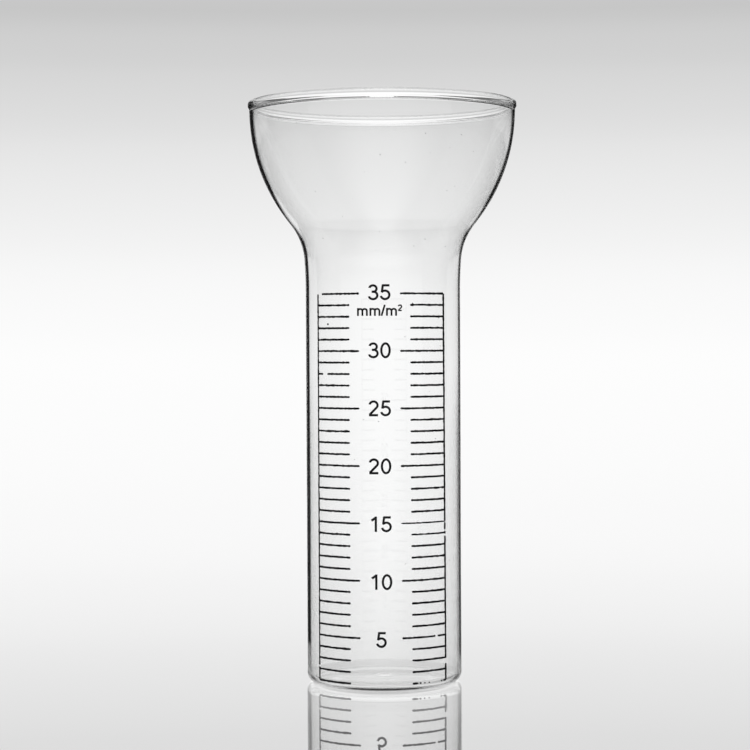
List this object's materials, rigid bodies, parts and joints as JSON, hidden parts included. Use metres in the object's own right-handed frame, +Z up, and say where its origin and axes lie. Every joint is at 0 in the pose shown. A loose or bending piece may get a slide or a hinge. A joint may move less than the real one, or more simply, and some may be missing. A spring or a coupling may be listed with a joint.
{
  "type": "manual rain gauge",
  "caption": "Hand-read glass rain gauge: straight measuring tube with a printed scale, opening through a narrow neck into a wide round catch bowl with a beaded rim.",
  "frame": {"origin": "centre of the face that the vessel rests on, which is the centre of the bottom of its box", "axes": "+Z up along the vessel's axis, towards the mouth; -Y is the way that the printed scale faces; +X is the reader's right"},
  "size_m": [0.073, 0.073, 0.1574],
  "materials": {
    "glass": "clear fire-polished borosilicate glass",
    "enamel": "black screen-printed enamel fired onto the glass, semi-matt"
  },
  "bodies": {
    "root": {"glass_vessel": "glass", "scale_line_left": "enamel", "scale_line_right": "enamel", "scale_major_marks": "enamel", "scale_minor_marks": "enamel", "numeral_05": "enamel", "numeral_10": "enamel", "numeral_15": "enamel", "numeral_20": "enamel", "numeral_25": "enamel", "numeral_30": "enamel", "numeral_35": "enamel", "unit_label": "enamel"}
  },
  "joints": []
}
